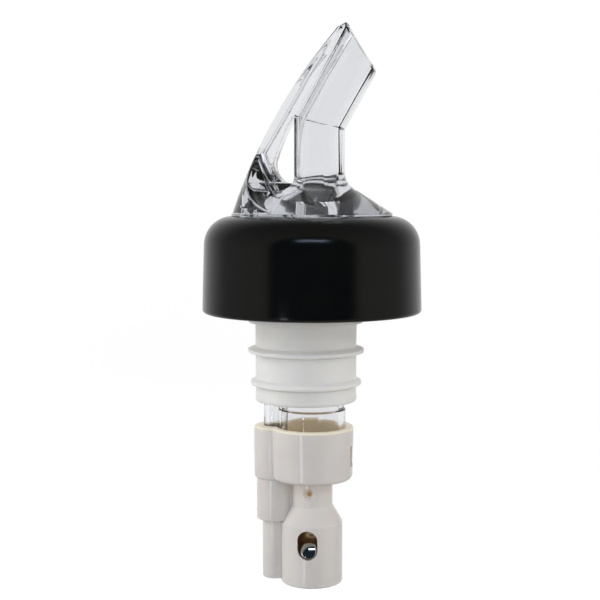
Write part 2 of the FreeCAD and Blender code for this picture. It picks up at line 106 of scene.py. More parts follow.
camera = bpy.data.objects.new("camera", bpy.data.cameras.new("camera"))
bpy.context.scene.collection.objects.link(camera)
camera.data.lens = LENS_LENGTH
camera.data.sensor_width = SENSOR_WIDTH
camera.data.clip_start = 0.01
rightward = Vector((math.cos(CAMERA_TURN), math.sin(CAMERA_TURN), 0))
backward = Vector((math.sin(CAMERA_TURN), -math.cos(CAMERA_TURN), 0))
camera.location = Vector((MAIN_X * MM, 0, CAMERA_HEIGHT)) + rightward * CAMERA_SIDE
camera.location += backward * CAMERA_AWAY
camera.rotation_euler = (math.pi / 2 - CAMERA_TILT, 0, CAMERA_TURN)
bpy.context.scene.camera = camera
print("camera at", [round(c, 4) for c in camera.location])

# %% [markdown]
# ## Shader maths as Python
#
# A finish is a small network of nodes. Writing it node by node hides the idea, so a `Signal`
# wraps one output socket and turns `a * b + 1` into Math nodes. A `Network` makes any other node
# in one call: settings first, then the values or links of its sockets. The world and every
# material are networks, and a `Finish` is a material's.

# %% Signals and networks


class Signal:
    """One output socket of a network, with arithmetic."""

    def __init__(self, network, socket):
        self.network = network
        self.socket = socket

    def maths(self, operation, first, second):
        return self.network.node("ShaderNodeMath", {"operation": operation}, {0: first, 1: second})

    def __add__(self, other):
        return self.maths("ADD", self, other)

    def __radd__(self, other):
        return self.maths("ADD", other, self)

    def __sub__(self, other):
        return self.maths("SUBTRACT", self, other)

    def __rsub__(self, other):
        return self.maths("SUBTRACT", other, self)

    def __mul__(self, other):
        return self.maths("MULTIPLY", self, other)

    def __rmul__(self, other):
        return self.maths("MULTIPLY", other, self)

    def __pow__(self, other):
        return self.maths("POWER", self, other)

    def __lt__(self, other):
        return self.maths("LESS_THAN", self, other)


class Network:
    """The nodes of a material or of the world, and the last node, which they feed."""

    def __init__(self, owner, last):
        owner.use_nodes = True
        self.tree = owner.node_tree
        self.last = self.tree.nodes[last]

    def feed(self, inputs, node=None):
        """Sets sockets of a node, by name or number, to values or to signals."""
        node = node or self.last
        for key, value in inputs.items():
            socket = node.inputs[key]
            if isinstance(value, Signal):
                self.tree.links.new(value.socket, socket)
            else:
                socket.default_value = value

    def node(self, kind, settings, inputs, output=0):
        made = self.tree.nodes.new(kind)
        for key, value in settings.items():
            if key == "stops":
                fill_ramp(made.color_ramp, value)
            else:
                setattr(made, key, value)
        self.feed(inputs, made)
        return Signal(self, made.outputs[output])

    def split(self, vector):
        """The x, y and z of a vector."""
        first = self.node("ShaderNodeSeparateXYZ", {}, {"Vector": vector})
        return [Signal(self, socket) for socket in first.socket.node.outputs]

    def ramp(self, signal, stops):
        return self.node("ShaderNodeValToRGB", {"stops": stops}, {"Fac": signal})

    def mix(self, amount, first, second):
        """A blend of two colours."""
        sockets = {"Factor": amount, 6: first, 7: second}
        return self.node("ShaderNodeMix", {"data_type": "RGBA"}, sockets, output=2)


class Finish(Network):
    """A procedural material around one Principled shader."""

    def __init__(self, name, **surface):
        self.material = bpy.data.materials.new(name)
        super().__init__(self.material, "Principled BSDF")
        self.feed(surface)
        self.place = self.node("ShaderNodeTexCoord", {}, {}, output="Object")

    def noise(self, scale, detail=3.0, place=None):
        """Soft grey noise; scale counts its lumps per metre."""
        sockets = {"Vector": place or self.place, "Scale": scale, "Detail": detail}
        return self.node("ShaderNodeTexNoise", {}, sockets | {"Roughness": 0.55})

    def stretched(self, scale):
        """The object's coordinates, scaled unevenly."""
        return self.node("ShaderNodeMapping", {}, {"Vector": self.place, "Scale": scale})

    def bump(self, height, strength, distance):
        sockets = {"Height": height, "Strength": strength, "Distance": distance}
        return self.node("ShaderNodeBump", {}, sockets)


def fill_ramp(ramp, stops):
    while len(ramp.elements) < len(stops):
        ramp.elements.new(0.5)
    for element, (position, colour) in zip(ramp.elements, stops):
        element.position = position
        element.color = colour


def grey(value):
    return (value, value, value, 1.0)


print("shader helpers ready")

# %% [markdown]
# ## Clear plastic
#
# The nozzle is clear styrene plastic. Glass-like transmission with its real index of refraction
# bends the bright surroundings into the dark and light lines that make a clear moulding
# readable. Very low bumps stand for the slight flow marks of the mould. The faint grey of the
# plastic is inside it, so it is an absorbing volume: thick places come out darker than thin ones.

# %% Clear plastic finish


def clear_plastic():
    finish = Finish("clear_plastic", **{"Transmission Weight": 1.0, "IOR": 1.57})
    flow = finish.noise(90, detail=2.0, place=finish.stretched((1.0, 1.0, 0.35)))
    haze = finish.noise(700, detail=4.0)
    tints = [(0.3, (0.895, 0.90, 0.915, 1)), (0.8, (0.915, 0.92, 0.93, 1))]
    finish.feed({
        "Base Color": finish.ramp(flow, tints),
        "Roughness": 0.015 + 0.04 * haze ** 2.0,
        "Normal": finish.bump(flow, 0.05, 0.0006),
    })
    grey_body = {"Color": (0.83, 0.84, 0.865, 1), "Density": 85.0}
    inside = finish.node("ShaderNodeVolumeAbsorption", {}, grey_body)
    finish.feed({"Volume": inside}, finish.tree.nodes["Material Output"])
    return finish.material


CLEAR = clear_plastic()
print("finish:", CLEAR.name)

# %% [markdown]
# ## Black collar plastic
#
# The collar is a satin black moulding. Its colour is almost nothing: what is seen is the room's
# reflection, so the roughness carries the finish, with a fine texture and faint handling marks.

# %% Black plastic finish


def black_plastic():
    finish = Finish("black_plastic", **{"IOR": 1.42, "Specular IOR Level": 0.5})
    grain = finish.noise(2600, detail=2.0)
    cloud = finish.noise(70, detail=3.0)
    rubs = finish.noise(240, detail=5.0, place=finish.stretched((1.0, 1.0, 4.0)))
    blacks = [(0.3, (0.0020, 0.0024, 0.0028, 1)), (0.7, (0.0034, 0.0034, 0.0030, 1))]
    finish.feed({
        "Base Color": finish.ramp(cloud, blacks),
        "Roughness": 0.10 + 0.10 * rubs + 0.04 * cloud,
        "Normal": finish.bump(grain, 0.25, 0.00004),
    })
    return finish.material


BLACK = black_plastic()
print("finish:", BLACK.name)

# %% [markdown]
# ## Cork and valve plastics
#
# The cork is natural polyethylene: waxy and milky, so light enters it and spreads. The valve
# housing is a warmer off-white, harder and a little glossier. Subsurface scattering gives both
# their softness.
#
# Light also soaks through the housing's thin walls and leaves its inside tan. Path tracing that
# properly is slow and noisy, so that light is painted: the inside, found by its distance from the
# main axis and its depth, gets a tan colour that stands in for the light, darker deeper down as
# painted shade, and a weak painted glow of its own. The top rim is painted cream, with a faint
# painted glow too.

# %% Milky plastic finishes
DEEPEST = 50.0
WIDEST = 10.0


def paint_inner_light(finish, base):
    """Painted light on the housing: a glowing tan inside the cup, the neck and the chamber, darker deeper
    down, and a cream, glowing rim.
    """
    x, y, z = finish.split(finish.place)
    radius = ((x - MAIN_X * MM) ** 2.0 + y ** 2.0) ** 0.5 * (1 / (WIDEST * MM))
    depth = z * (-1 / (DEEPEST * MM))

    def by_depth(stops):
        return finish.ramp(depth, [(down / DEEPEST, colour) for down, colour in stops])

    cup, neck, chamber = (grey(reach / WIDEST) for reach in (6.5, 3.1, 5.1))
    reach = by_depth([(28.75, cup), (29.25, neck), (33.8, neck), (37.2, chamber)])
    inside = radius < reach
    # Strength of the painted glow: it changes with depth and dies out at the chamber.
    painted_glow_fade = by_depth([(18.0, grey(1.0)), (28.0, grey(0.45)), (32.0, grey(0.7)), (35.0, grey(0.0))])
    # Painted light and shade: a tan that stands in for light through the walls, darker deeper down.
    tan = by_depth([(28.0, (0.62, 0.50, 0.33, 1)), (35.0, (0.42, 0.29, 0.16, 1))])
    # Painted light on the top rim: a cream colour with a faint glow of its own.
    rim = by_depth([(19.35, grey(1.0)), (19.7, grey(0.0))])
    # A faint tan painted glow on the inside, where no lamp is.
    painted_glow = finish.mix(inside * painted_glow_fade, grey(0.0), (0.32, 0.245, 0.14, 1))
    return {
        "Base Color": finish.mix(rim, finish.mix(inside, base, tan), (0.80, 0.74, 0.60, 1)),
        "Emission Color": finish.mix(rim * (1 - inside), painted_glow, (0.14, 0.12, 0.085, 1)),
        "Emission Strength": 1.0,
    }


def milky_plastic(name, light, dark, roughness, soft, radius, grain_height, inner_light_painted=False):
    finish = Finish(name, **{"IOR": 1.5, "Subsurface Weight": soft, "Subsurface Radius": radius,
                             "Subsurface Scale": MM})
    cloud = finish.noise(160, detail=3.0)
    grain = finish.noise(3200, detail=2.0)
    marks = finish.noise(420, detail=4.0, place=finish.stretched((1.0, 1.0, 0.2)))
    colour = finish.ramp(cloud, [(0.3, dark), (0.7, light)])
    finish.feed({
        "Base Color": colour,
        "Roughness": roughness + 0.12 * marks,
        "Normal": finish.bump(grain + 0.6 * marks, 0.3, grain_height),
    })
    if inner_light_painted:
        # Painted light: a glowing tan inside and a cream, glowing rim.
        finish.feed(paint_inner_light(finish, colour))
    return finish.material


MILKY = milky_plastic("milky_cork", (0.83, 0.82, 0.805, 1), (0.79, 0.78, 0.77, 1), roughness=0.36,
                      soft=0.85, radius=(1.3, 1.2, 1.1), grain_height=0.00003)
# The housing's finish carries painted light and shade inside and a painted glow on its rim.
IVORY = milky_plastic("ivory_housing", (0.73, 0.69, 0.67, 1), (0.69, 0.65, 0.63, 1), roughness=0.10,
                      soft=0.25, radius=(1.6, 1.0, 0.5), grain_height=0.00002, inner_light_painted=True)
print("finishes:", MILKY.name, IVORY.name)

# %% [markdown]
# ## Polished steel balls
#
# Bearing balls are mirrors. A pure mirror looks computed, so a fine haze of wear roughens it
# unevenly.

# %% Steel finish


def polished_steel():
    finish = Finish("polished_steel", **{"Metallic": 1.0})
    wear = finish.noise(900, detail=5.0)
    finish.feed({
        "Base Color": finish.ramp(wear, [(0.3, grey(0.62)), (0.7, grey(0.74))]),
        "Roughness": 0.04 + 0.09 * wear ** 2.0,
    })
    return finish.material


STEEL = polished_steel()
print("finish:", STEEL.name)

# %% [markdown]
# ## Studio
#
# Pale paper sweeps up into the background in one curve, so no horizon shows. It is only a
# backdrop: the camera sees it, also through the clear plastic, but it casts no shadow, sends no
# light back up and isn't mirrored.
#
# The world is a light tent: bright behind the object, grey at its sides, and dark at the opening
# that the camera looks through. The black collar shows that opening as its darkest band, and the
# clear plastic takes its outlines from it. The camera itself sees a plain white room wherever it
# looks past the paper, and rays that come out of the clear plastic see a good part of that room.
# The large boxes only light. A narrow strip and a small window are the only lamps that show in
# reflections.

# %% Floor and world
ROOM_IN_PLASTIC = 0.60


def make_sweep():
    mesh = bpy.data.meshes.new("floor")
    shape = bmesh.new()
    floor_z = cad_box[0].z
    front, back, bend, height, half_width, steps = -0.5, 0.34, 0.12, 0.75, 0.8, 12
    line = [(front, floor_z), (back - bend, floor_z)]
    for step in range(1, steps + 1):
        turn = math.radians(90 * step / steps)
        line.append((back - bend + bend * math.sin(turn), floor_z + bend * (1 - math.cos(turn))))
    line.append((back, floor_z + height))
    verts = [shape.verts.new((-half_width, y, z)) for y, z in line]
    edges = [shape.edges.new(pair) for pair in zip(verts, verts[1:])]
    grown = bmesh.ops.extrude_edge_only(shape, edges=edges)["geom"]
    moved = [item for item in grown if isinstance(item, bmesh.types.BMVert)]
    bmesh.ops.translate(shape, verts=moved, vec=(2 * half_width, 0, 0))
    bmesh.ops.recalc_face_normals(shape, faces=shape.faces)
    shape.to_mesh(mesh)
    shape.free()
    mesh.shade_smooth()
    sweep = bpy.data.objects.new("floor", mesh)
    bpy.context.scene.collection.objects.link(sweep)
    finish = Finish("floor_paper", **{"Roughness": 0.9, "Emission Strength": 1.0})
    paper = finish.ramp(finish.noise(3, detail=2.0), [(0.3, grey(0.92)), (0.7, grey(0.96))])
    finish.feed({"Base Color": finish.mix(0.9, paper, grey(0.0)), "Emission Color": paper})
    sweep.data.materials.append(finish.material)
    sweep.visible_glossy = False
    sweep.visible_shadow = False
    sweep.visible_diffuse = False


def make_world():
    world = bpy.data.worlds.new("studio")
    bpy.context.scene.world = world
    tent = Network(world, "World Output")
    place = tent.node("ShaderNodeTexCoord", {}, {}, output="Generated")
    depth = [(0.13, (0.015, 0.025, 0.035, 1)), (0.18, (0.40, 0.40, 0.35, 1)),
             (0.62, grey(0.30)), (0.95, grey(0.85))]
    height = [(0.50, grey(1.0)), (1.0, grey(0.45))]
    shades = []
    for way, stops in ((-backward, depth), (Vector((0, 0, 1)), height)):
        half = {0: place, 1: way * 0.5}
        along = tent.node("ShaderNodeVectorMath", {"operation": "DOT_PRODUCT"}, half, output="Value")
        shades.append(tent.ramp(along + 0.5, stops))
    shade = tent.node("ShaderNodeVectorMath", {"operation": "MULTIPLY"}, dict(enumerate(shades)))
    seen = tent.node("ShaderNodeLightPath", {}, {}, output="Is Camera Ray")
    passed = tent.node("ShaderNodeLightPath", {}, {}, output="Is Transmission Ray")
    walls = tent.node("ShaderNodeBackground", {}, {"Color": shade})
    room = tent.node("ShaderNodeBackground", {}, {"Color": grey(1.0)})
    share = {"Fac": passed * ROOM_IN_PLASTIC + seen, 1: walls, 2: room}
    tent.feed({"Surface": tent.node("ShaderNodeMixShader", {}, share)})


def area_light(name, place, size, power, colour=(1, 1, 1), mirrored=False):
    """A soft box that faces the middle of the object; mirrored lets it show in reflections."""
    lamp = bpy.data.lights.new(name, "AREA")
    lamp.shape = "RECTANGLE"
    lamp.size, lamp.size_y = size
    lamp.energy = power
    lamp.color = colour
    box = bpy.data.objects.new(name, lamp)
    bpy.context.scene.collection.objects.link(box)
    box.location = place
    target = Vector((MAIN_X * MM, 0, 0))
    box.rotation_euler = (target - Vector(place)).to_track_quat("-Z", "Y").to_euler()
    box.visible_glossy = mirrored
    box.visible_transmission = mirrored


BOX_SIZE = (0.26, 0.44)
make_sweep()
make_world()
area_light("key_box", (-0.47, -0.11, 0.17), BOX_SIZE, 1.66)
area_light("fill_box", (0.48, -0.05, 0.17), BOX_SIZE, 1.15, (1.0, 0.97, 0.93))
area_light("front_box", backward * 0.50 + Vector((0, 0, 0.04)), (0.45, 0.35), 1.08)
area_light("strip_box", (-0.185, -0.50, -0.185), (0.012, 0.23), 0.16, mirrored=True)
area_light("window_box", backward * 0.44 + Vector((0, 0, 0.262)), (0.26, 0.045), 0.24,
           (0.62, 0.78, 1.0), mirrored=True)
bpy.context.scene.view_settings.view_transform = "Standard"
print("studio ready")

# %% [markdown]
# ## Mesh helpers
#
# Most of the pourer is turned work: a profile spun about an axis. `rounded` softens the corners
# of a profile before it is spun, because real mouldings have no sharp edges and it is the small
# radii that catch the light. `combined` joins and cuts solids with exact booleans, the way a
# toolmaker adds and removes steel.

# %% Helpers for profiles, spins and booleans


def rounded(corners, steps=5):
    """A profile through (x, z) or (x, z, radius) corners, with the radii drawn as arcs."""
    line = []
    count = len(corners)
    for index, (x, z, *radius) in enumerate(corners):
        here = Vector((x, z))
        if not radius:
            line.append((x, z))
            continue
        before = Vector(corners[index - 1][:2]) - here
        after = Vector(corners[(index + 1) % count][:2]) - here
        half = before.angle(after) / 2
        centre = here + (before.normalized() + after.normalized()).normalized() * radius[0] / math.sin(half)
        start = here + before.normalized() * radius[0] / math.tan(half) - centre
        end = here + after.normalized() * radius[0] / math.tan(half) - centre
        turn = start.angle_signed(end)
        for step in range(steps + 1):
            spoke = start.copy()
            spoke.rotate(Matrix.Rotation(-turn * step / steps, 2))
            line.append(tuple(centre + spoke))
    return line


def as_object(name, shape, merge=1e-4):
    """Turns a bmesh drawn in millimetres into an object that is still in millimetres."""
    bmesh.ops.remove_doubles(shape, verts=shape.verts, dist=merge)
    bmesh.ops.recalc_face_normals(shape, faces=shape.faces)
    mesh = bpy.data.meshes.new(name)
    shape.to_mesh(mesh)
    shape.free()
    piece = bpy.data.objects.new(name, mesh)
    bpy.context.scene.collection.objects.link(piece)
    return piece


def turned(name, profile, centre_x, steps=96, closed=True):
    """Spins a profile about the upright axis at centre_x."""
    shape = bmesh.new()
    verts = [shape.verts.new((centre_x + x, 0, z)) for x, z in profile]
    ends = verts[1:] + (verts[:1] if closed else [])
    edges = [shape.edges.new(pair) for pair in zip(verts, ends)]
    bmesh.ops.spin(shape, geom=verts + edges, cent=(centre_x, 0, 0), axis=(0, 0, 1),
                   angle=2 * math.pi, steps=steps, use_merge=True)
    return as_object(name, shape)


def rod(name, start, end, radius, steps=40, far_radius=None):
    """A straight round bar between two points, tapered if its far end has a radius of its own."""
    start, end = Vector(start), Vector(end)
    way = end - start
    shape = bmesh.new()
    place = Matrix.Translation((start + end) / 2) @ way.to_track_quat("Z", "Y").to_matrix().to_4x4()
    bmesh.ops.create_cone(shape, cap_ends=True, segments=steps, radius1=radius,
                          radius2=far_radius or radius, depth=way.length, matrix=place)
    return as_object(name, shape)


def block(name, low, high, soften=0.0):
    """A box between two corners, with its edges softened if asked."""
    low, high = Vector(low), Vector(high)
    shape = bmesh.new()
    size = Matrix.Diagonal((*(high - low), 1))
    bmesh.ops.create_cube(shape, size=1.0, matrix=Matrix.Translation((low + high) / 2) @ size)
    if soften:
        bmesh.ops.bevel(shape, geom=shape.edges[:], offset=soften, affect="EDGES", segments=2,
                        profile=0.5, material=-1)
    return as_object(name, shape)


def combined(base, joined=(), cut=()):
    """Joins and cuts solids, and leaves the result in base."""
    for operation, tools in (("UNION", joined), ("DIFFERENCE", cut)):
        for tool in tools:
            step = base.modifiers.new(tool.name, "BOOLEAN")
            step.operation = operation
            step.solver = "EXACT"
            step.object = tool
    view = bpy.context.evaluated_depsgraph_get()
    mesh = bpy.data.meshes.new_from_object(base.evaluated_get(view))
    base.modifiers.clear()
    base.data = mesh
    for tool in (*joined, *cut):
        bpy.data.objects.remove(tool)


def finished(piece, material, body, node, sharp=32.0):
    """Shrinks a piece to metres, smooths its shading, and hangs it on its body."""
    piece.data.transform(Matrix.Scale(MM, 4))
    piece.data.shade_smooth()
    piece.data.set_sharp_from_angle(angle=math.radians(sharp))
    piece.data.materials.clear()
    piece.data.materials.append(material)
    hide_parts(node)
    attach(piece, body)
    print(f"{piece.name}: {len(piece.data.polygons)} faces")


TUBE_HOLE, VENT_HOLE = 6.0, 2.07


def tube_holes(foot, top):
    """The two holes that the clear tubes pass through, a little longer than the piece."""
    return [rod("tube_hole", (MAIN_X, 0, foot - 1), (MAIN_X, 0, top + 1), TUBE_HOLE, steps=96),
            rod("vent_hole", (VENT_X, 0, foot - 1), (VENT_X, 0, top + 1), VENT_HOLE)]


# %% [markdown]
# ## Collar
#
# The collar is one black moulding, hollow underneath: a skirt with a generous shoulder, a sleeve
# that bears on the cork, and ribs between them. The shell is a single spun profile, so the
# shoulder stays perfectly round in the highlight. The sleeve and ribs are joined to it, and the
# two tubes' holes are cut last.

# %% Collar


def make_collar():
    low, high = span("collar")
    outer = (high.x - low.x) / 2
    waist, shoulder, wall = outer - 0.5, 5.2, 1.5
    top, foot = high.z, low.z
    profile = rounded([
        (2.0, top), (waist, top, shoulder), (outer - 0.05, foot + 2.2), (outer, foot, 0.7),
        (outer - wall, foot, 0.5), (waist - wall, top - wall, shoulder - wall), (2.0, top - wall),
    ], steps=14)
    shell = turned("collar_shell", profile, MAIN_X, steps=160)
    sleeve_radius, rib_half = 9.8, 0.55
    sleeve = rod("sleeve", (0, 0, foot), (0, 0, top - 0.6), sleeve_radius, steps=96)
    ribs = []
    for index in range(6):
        rib = block("rib", (8.0, -rib_half, foot + 7.2), (waist - 0.8, rib_half, top - shoulder + 2.6))
        rib.data.transform(Matrix.Rotation(index * math.pi / 3, 4, "Z"))
        rib.data.transform(Matrix.Translation((MAIN_X, 0, 0)))
        ribs.append(rib)
    combined(shell, joined=[sleeve, *ribs], cut=tube_holes(foot, top))
    finished(shell, BLACK, "body", "collar")


make_collar()

# %% [markdown]
# ## Cork
#
# The cork is soft polyethylene. Its fins are thin, tapered and slightly rounded at the rim, and
# where they leave the body there is a small fillet. All of that is in the spun profile.

# %% Cork


def make_cork():
    low, high = span("cork")
    flange = (high.x - low.x) / 2
    body, foot, core_radius = 9.27, low.z, 4.0
    profile = [(2.0, high.z), (flange, high.z, 0.25), (flange, 0.0, 0.35), (body, 0.0, 0.5)]
    for level, reach in ((-5.15, flange), (-11.0, flange - 0.5)):
        profile += [(body - 0.05, level + 0.75, 0.3), (reach, level + 0.3, 0.1),
                    (reach, level - 0.3, 0.1), (body - 0.05, level - 0.6, 0.15)]
    profile += [(body - 0.1, foot + 0.9, 0.15), (body + 0.05, foot + 0.75, 0.1),
                (body - 0.1, foot, 0.35), (2.0, foot)]
    body_mesh = turned("cork_stopper", rounded(profile, steps=4), 0.0, steps=128)
    core = rod("core", (0, 0, foot), (0, 0, high.z), core_radius, steps=32)
    combined(body_mesh, joined=[core], cut=tube_holes(foot, high.z))
    finished(body_mesh, MILKY, "body", "cork")


make_cork()

# %% [markdown]
# ## Clear spout: sections and lofts
#
# The clear moulding changes section on its way up: a round tube, a wide flange, and a square
# nozzle with cut corners. A loft does this. It starts from one ring of points and is extruded
# ring by ring, and every ring has the same number of points, so the faces stay clean quads. Clean
# quads matter more on clear plastic than anywhere else, because every wobble bends what is seen
# through it.

# %% Ring and loft helpers
RING_POINTS = 192
EDGE_POWER = 16


def loft(name, rings):
    """Extrudes a closed ring of points through all the other rings, with both ends closed."""
    shape = bmesh.new()
    ring = [shape.verts.new(point) for point in rings[0]]
    shape.faces.new(ring)
    for points in rings[1:]:
        edges = [shape.edges.get(pair) for pair in zip(ring, ring[1:] + ring[:1])]
        known = set(ring)
        grown = bmesh.ops.extrude_edge_only(shape, edges=edges)["geom"]
        above = {}
        for vert in (item for item in grown if isinstance(item, bmesh.types.BMVert)):
            below = next(e.other_vert(vert) for e in vert.link_edges if e.other_vert(vert) in known)
            above[below] = vert
        ring = [above[vert] for vert in ring]
        for vert, point in zip(ring, points):
            vert.co = point
    shape.faces.new(ring)
    return as_object(name, shape)


def turns():
    return [2 * math.pi * index / RING_POINTS for index in range(RING_POINTS)]


def cut_square(half, corner):
    """Offsets of a square with cut corners; a high power of the sides rounds its edges slightly."""
    reach = (half, (2 * half - corner) / math.sqrt(2))
    offsets = []
    for turn in turns():
        pull = 0.0
        for side in range(8):
            pull += max(math.cos(turn - side * math.pi / 4) / reach[side % 2], 0.0) ** EDGE_POWER
        radius = pull ** (-1 / EDGE_POWER)
        offsets.append((radius * math.cos(turn), radius * math.sin(turn)))
    return offsets


def circle(radius, level):
    """A level ring about the main axis."""
    return [Vector((MAIN_X + radius * math.cos(t), radius * math.sin(t), level)) for t in turns()]


print(f"rings have {RING_POINTS} points")

# %% [markdown]
# ## Clear spout: nozzle and flange
#
# The nozzle stands beside the main axis, rises straight, and then leans over at a mitre, where a
# very shallow groove marks the line between the two runs. Its root spreads in a hollow curve onto
# the flange, and below the flange the same loft goes on as the main tube. The bore is a second
# loft, which is cut out later, as the core of the mould leaves it.

# %% Nozzle, flange and bore
SPOUT_FOOT = span("spout")[0].z
FLANGE_FOOT = span("collar")[1].z + 0.02
FLANGE_RADIUS, FLANGE_RIM = 14.6, 19.75
KNEE_RADIUS, KNEE_Z = 8.4, 23.78
NOZZLE_X, NOZZLE_HALF, NOZZLE_CORNER = MAIN_X + 1.38, 4.4, 1.7
BORE_HALF, BORE_CORNER = 3.3, 1.1
ROOT_Z, ROOT_TILT, ROOT_TURN = 26.8, 0.16, math.radians(62)
BEND_Z, LEAN = 36.05, math.radians(29.3)
GROOVE_HALF, GROOVE_SHARE = 0.08, 0.98
MOUTH_REACH, MOUTH_SLANT = 15.28, -0.5625
TUBE_RADIUS, TUBE_FOOT_RADIUS, TUBE_STEP_Z, TUBE_BORE = 5.95, 6.2, -16.0, 5.1


def scaled(offsets, share):
    return [(share * u, share * v) for u, v in offsets]


def upright(offsets, level):
    """A level ring of the nozzle's straight run; level may be a function of the sideways offset."""
    return [Vector((NOZZLE_X + u, v, level(u) if callable(level) else level)) for u, v in offsets]


def leaning(offsets, along):
    """A ring of the leaning run; along gives the distance past the bend for a sideways offset."""
    points = []
    for u, v in offsets:
        t = along(u)
        points.append(Vector((NOZZLE_X + u * math.cos(LEAN) + t * math.sin(LEAN), v,
                              BEND_Z - u * math.sin(LEAN) + t * math.cos(LEAN))))
    return points


def mitre(u):
    return u * math.tan(LEAN / 2)


def mouth(u):
    return MOUTH_REACH + MOUTH_SLANT * u


def hollow_root(wall, steps=12):
    """Rings that carry the nozzle's wall down and out to the flange's knee in a hollow curve."""
    rings = []
    knee = circle(KNEE_RADIUS, KNEE_Z)
    for step in range(steps + 1):
        turn = ROOT_TURN * step / steps
        out = (1 - math.cos(turn)) / (1 - math.cos(ROOT_TURN))
        down = math.sin(turn) / math.sin(ROOT_TURN)
        ring = []
        for (u, v), foot in zip(wall, knee):
            start = Vector((NOZZLE_X + u, v, ROOT_Z + ROOT_TILT * u))
            flat = start.lerp(foot, out)
            ring.append(Vector((flat.x, flat.y, start.z + (foot.z - start.z) * down)))
        rings.append(ring)
    return rings


def make_outer():
    wall = cut_square(NOZZLE_HALF, NOZZLE_CORNER)
    rings = [leaning(scaled(wall, 0.95), mouth), leaning(scaled(wall, 0.985), lambda u: mouth(u) - 0.06)]
    rings += [leaning(wall, lambda u: mouth(u) - 0.22), leaning(wall, lambda u: 0.5 * (mouth(u) + mitre(u)))]
    rings += [leaning(wall, lambda u: mitre(u) + GROOVE_HALF), leaning(scaled(wall, GROOVE_SHARE), mitre)]
    rings += [upright(wall, lambda u: BEND_Z - mitre(u) - GROOVE_HALF), *hollow_root(wall)]
    rim = rounded([(KNEE_RADIUS, KNEE_Z), (FLANGE_RADIUS, FLANGE_RIM, 0.2),
                   (FLANGE_RADIUS, FLANGE_FOOT, 0.05), (TUBE_RADIUS, FLANGE_FOOT, 0.1),
                   (TUBE_RADIUS, TUBE_STEP_Z + 0.25, 0.2), (TUBE_FOOT_RADIUS, TUBE_STEP_Z, 0.2),
                   (TUBE_FOOT_RADIUS, SPOUT_FOOT, 0.3), (TUBE_BORE - 0.1, SPOUT_FOOT)], steps=4)
    rings += [circle(radius, level) for radius, level in rim[1:-1]]
    return loft("clear_spout", rings)


def make_bore():
    wall = cut_square(BORE_HALF, BORE_CORNER)
    rings = [circle(TUBE_BORE, SPOUT_FOOT - 1), circle(TUBE_BORE, 18.1), upright(wall, 20.5)]
    rings += [leaning(wall, mitre), leaning(wall, lambda u: mouth(u) - 0.3)]
    rings += [leaning(scaled(wall, 1.2), lambda u: mouth(u) + 0.9)]
    return loft("bore", rings)


print(f"nozzle leans {math.degrees(LEAN):.1f} degrees from z = {BEND_Z} mm")

# %% [markdown]
# ## Clear spout: vent arm
#
# The arm is a slim fin that carries the air channel from the flange to the nozzle's tip. Its foot
# widens until it follows the flange's rim on that side. Horizontal slices are the easy way to draw
# it: for each height there is an outer edge, a half width and an inner edge, and the gap between
# arm and nozzle is only a stretch where the inner edge stays away from the nozzle.

# %% Vent arm
ARM_HALF, FOOT_HALF, FLARE_TOP, FLARE_POWER = 2.4, 13.9, 31.6, 1.6
GAP_FLOOR, GAP_WAIST, GAP_TOP = (-4.02, 25.2), (-6.67, 28.8), (-3.02, 37.1)
GAP_FLOOR_RADIUS, GAP_RADIUS = 3.3, 30.0
ARM_FOOT, ARM_TIP, ARM_NOSE, ARM_PEAK = (-14.3, 20.2), (4.1, 52.2), (4.5, 52.75), (6.3, 53.6)
ARM_RADIUS = 96.0


def arc_x(z, low, high, radius):
    """Where the arc between two points, bulging to -X, is at a height."""
    low, high = Vector(low), Vector(high)
    half = (high - low) / 2
    side = Vector((half.y, -half.x)).normalized()
    centre = low + half + side * math.sqrt(radius ** 2 - half.length_squared)
    return centre.x - math.sqrt(max(radius ** 2 - (z - centre.y) ** 2, 0.0))


def straight_x(z, low, high):
    return low[0] + (high[0] - low[0]) * (z - low[1]) / (high[1] - low[1])


def arm_outer(z):
    if z <= ARM_TIP[1]:
        return arc_x(z, ARM_FOOT, ARM_TIP, ARM_RADIUS)
    if z <= ARM_NOSE[1]:
        return straight_x(z, ARM_TIP, ARM_NOSE)
    return straight_x(z, ARM_NOSE, ARM_PEAK)


def arm_inner(z):
    inside_wall = NOZZLE_X - MAIN_X - NOZZLE_HALF + 0.6
    if GAP_FLOOR[1] <= z <= GAP_WAIST[1]:
        return arc_x(z, GAP_FLOOR, GAP_WAIST, GAP_FLOOR_RADIUS)
    if GAP_WAIST[1] < z <= GAP_TOP[1]:
        return arc_x(z, GAP_WAIST, GAP_TOP, GAP_RADIUS)
    if z < GAP_FLOOR[1]:
        return inside_wall
    leaned = inside_wall + max(z - GAP_TOP[1] - 0.3, 0.0) * math.tan(LEAN)
    return min(leaned, ARM_PEAK[0] + (ARM_PEAK[1] - z) * 0.61 - 0.06)


def arm_half(z):
    drop = max(FLARE_TOP - z, 0.0) / (FLARE_TOP - FLANGE_RIM)
    return min(ARM_HALF + (FOOT_HALF - ARM_HALF) * drop ** FLARE_POWER, FOOT_HALF)


def bent(before, corner, after, steps):
    """Points of a soft corner, as a curve from before to after that corner pulls."""
    points = []
    for step in range(steps + 1):
        t = step / steps
        points.append(before.lerp(corner, t).lerp(corner.lerp(after, t), t))
    return points


